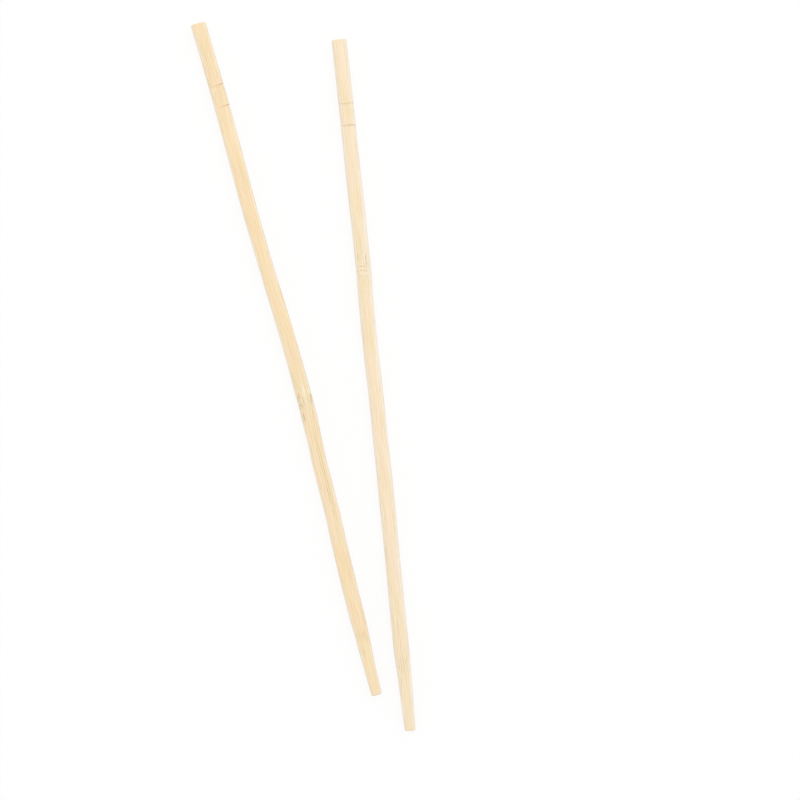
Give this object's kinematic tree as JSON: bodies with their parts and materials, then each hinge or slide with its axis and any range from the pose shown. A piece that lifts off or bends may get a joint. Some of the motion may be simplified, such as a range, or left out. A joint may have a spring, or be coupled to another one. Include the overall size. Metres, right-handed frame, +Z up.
{
  "type": "bamboo chopsticks",
  "caption": "Pair of loose disposable bamboo chopsticks lying apart: squared bars with bevelled edges, grooves near the head, a culm node and a short tapered tip.",
  "frame": {"origin": "on the table, under the middle of the box round the two sticks as they lie", "axes": "+Z up from the table, +Y towards the heads and +X to the right, as seen from above with the tips nearest"},
  "size_m": [0.0742, 0.2348, 0.0047],
  "materials": {
    "bamboo": "planed and tumbled, bare, matt with a faint silky sheen along the fibres"
  },
  "bodies": {
    "root": {"chopstick_left": "bamboo", "chopstick_right": "bamboo"}
  },
  "joints": []
}
